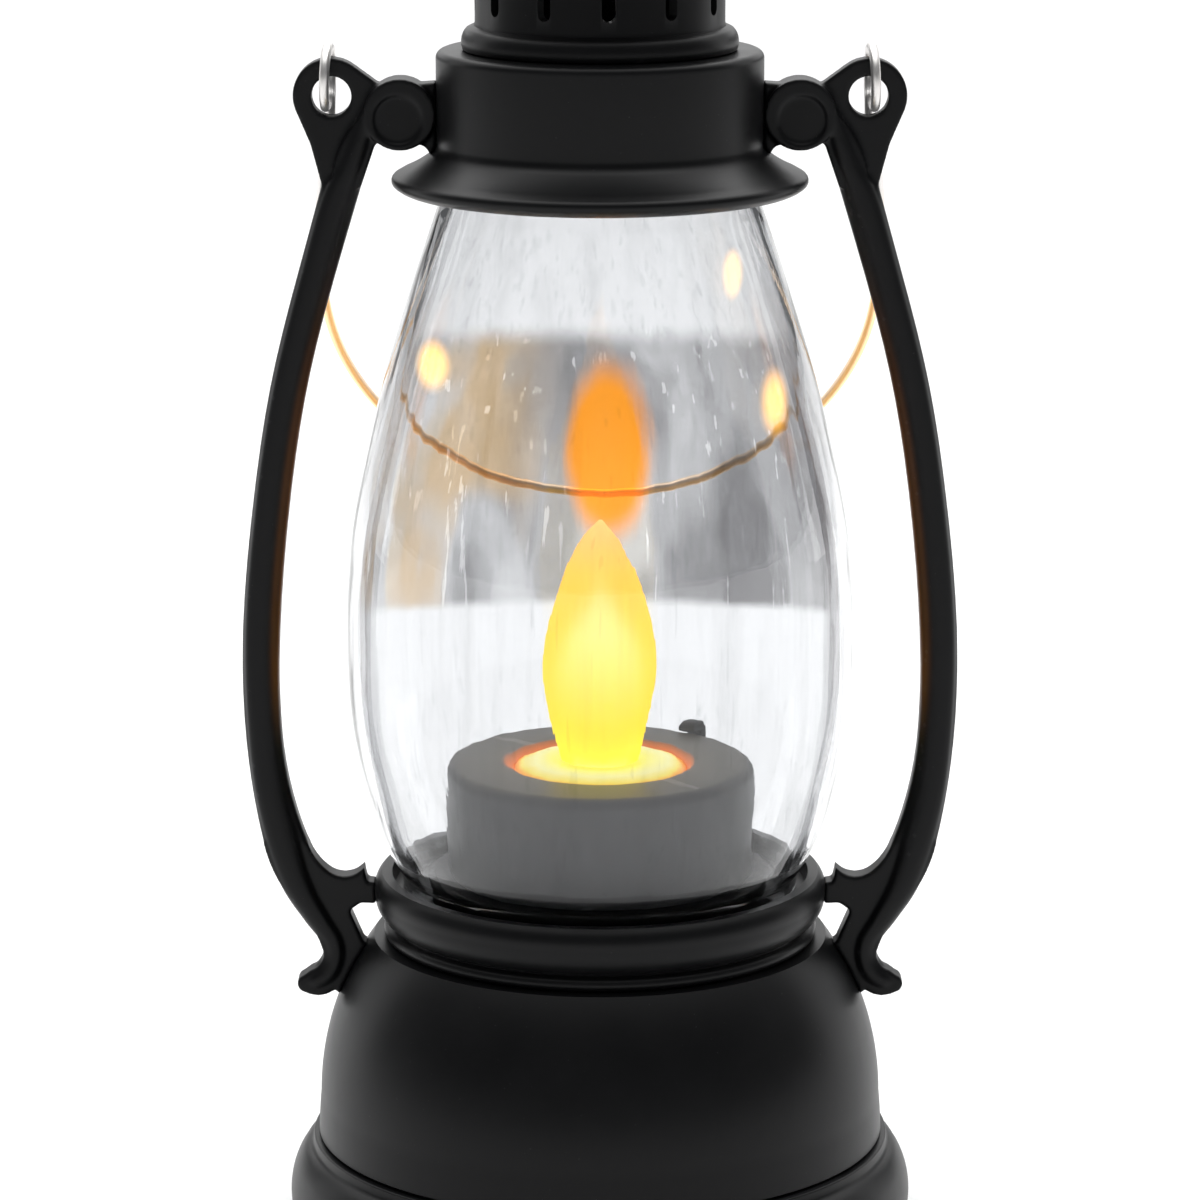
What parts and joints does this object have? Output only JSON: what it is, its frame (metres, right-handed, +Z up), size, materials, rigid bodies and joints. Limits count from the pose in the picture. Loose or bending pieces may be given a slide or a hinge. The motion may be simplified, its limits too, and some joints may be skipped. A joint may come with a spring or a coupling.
{
  "type": "candle lantern",
  "caption": "Battery candle lantern shaped like a hurricane lamp, with clear globe, scrolled side arms, lit candle and folding wire bail.",
  "frame": {"origin": "middle of the foot's underside, on the surface the lantern stands on", "axes": "+Z up along the lantern's axis, -Y towards the front, +X to the right; the bail rests behind, on the +Y side"},
  "size_m": [0.088, 0.0776, 0.177],
  "materials": {
    "black_shell": "moulded black plastic with a soft satin shine",
    "black_arm": "moulded black plastic, satin, with rounded edges",
    "black_seat": "moulded black plastic",
    "black_cover": "fine textured black plastic",
    "zinc_screw": "zinc plated steel",
    "cell_jacket": "printed foil jacket, plain, with bare metal ends",
    "nickel_contact": "nickel plated spring steel",
    "switch_black": "moulded black plastic",
    "red_lead": "vinyl insulation",
    "black_lead": "vinyl insulation",
    "grey_candle": "moulded grey plastic, matt, slightly wax like",
    "warm_glow": "translucent plastic, lit from below",
    "flame": "translucent frosted plastic, lit from inside",
    "led_lens": "clear epoxy lens, lit",
    "green_board": "solder mask over glass fibre board",
    "chip_black": "moulded epoxy",
    "clear_globe": "clear moulded plastic, polished, with faint flow lines",
    "steel_wire": "bright nickel plated steel wire"
  },
  "bodies": {
    "lantern": {"foot_ring": "black_shell", "font_shell": "black_shell", "gallery_ring": "black_shell", "candle_seat": "black_seat", "bottom_cover": "black_cover", "cover_screws": "zinc_screw", "battery_box": "black_cover", "batteries": "cell_jacket", "spring_contacts": "nickel_contact", "flat_contacts": "nickel_contact", "switch_body": "switch_black", "wire_red": "red_lead", "wire_black": "black_lead", "tealight_cup": "grey_candle", "glow_disc": "warm_glow", "flame_shell": "flame", "led": "led_lens", "flicker_board": "green_board", "driver_chip": "chip_black", "globe": "clear_globe", "crown": "black_shell", "chimney": "black_shell", "cap": "black_shell", "cap_knob": "black_shell", "side_arm_right": "black_arm", "side_arm_left": "black_arm"},
    "bail": {"bail_wire": "steel_wire"},
    "slider": {"switch_slider": "switch_black"},
    "door": {"battery_door": "black_cover"}
  },
  "joints": [
    {"name": "bail_swing", "type": "hinge", "parent": "lantern", "child": "bail", "pos_m": [0, 0, 0.1453], "axis": [1, 0, 0], "range_deg": [0, 302]},
    {"name": "switch_slide", "type": "slide", "parent": "lantern", "child": "slider", "axis": [-1, 0, 0], "range_m": [0, 0.0025]},
    {"name": "door_hinge", "type": "hinge", "parent": "lantern", "child": "door", "pos_m": [0, -0.01545, 0.00225], "axis": [-1, 0, 0], "range_deg": [0, 80]}
  ]
}
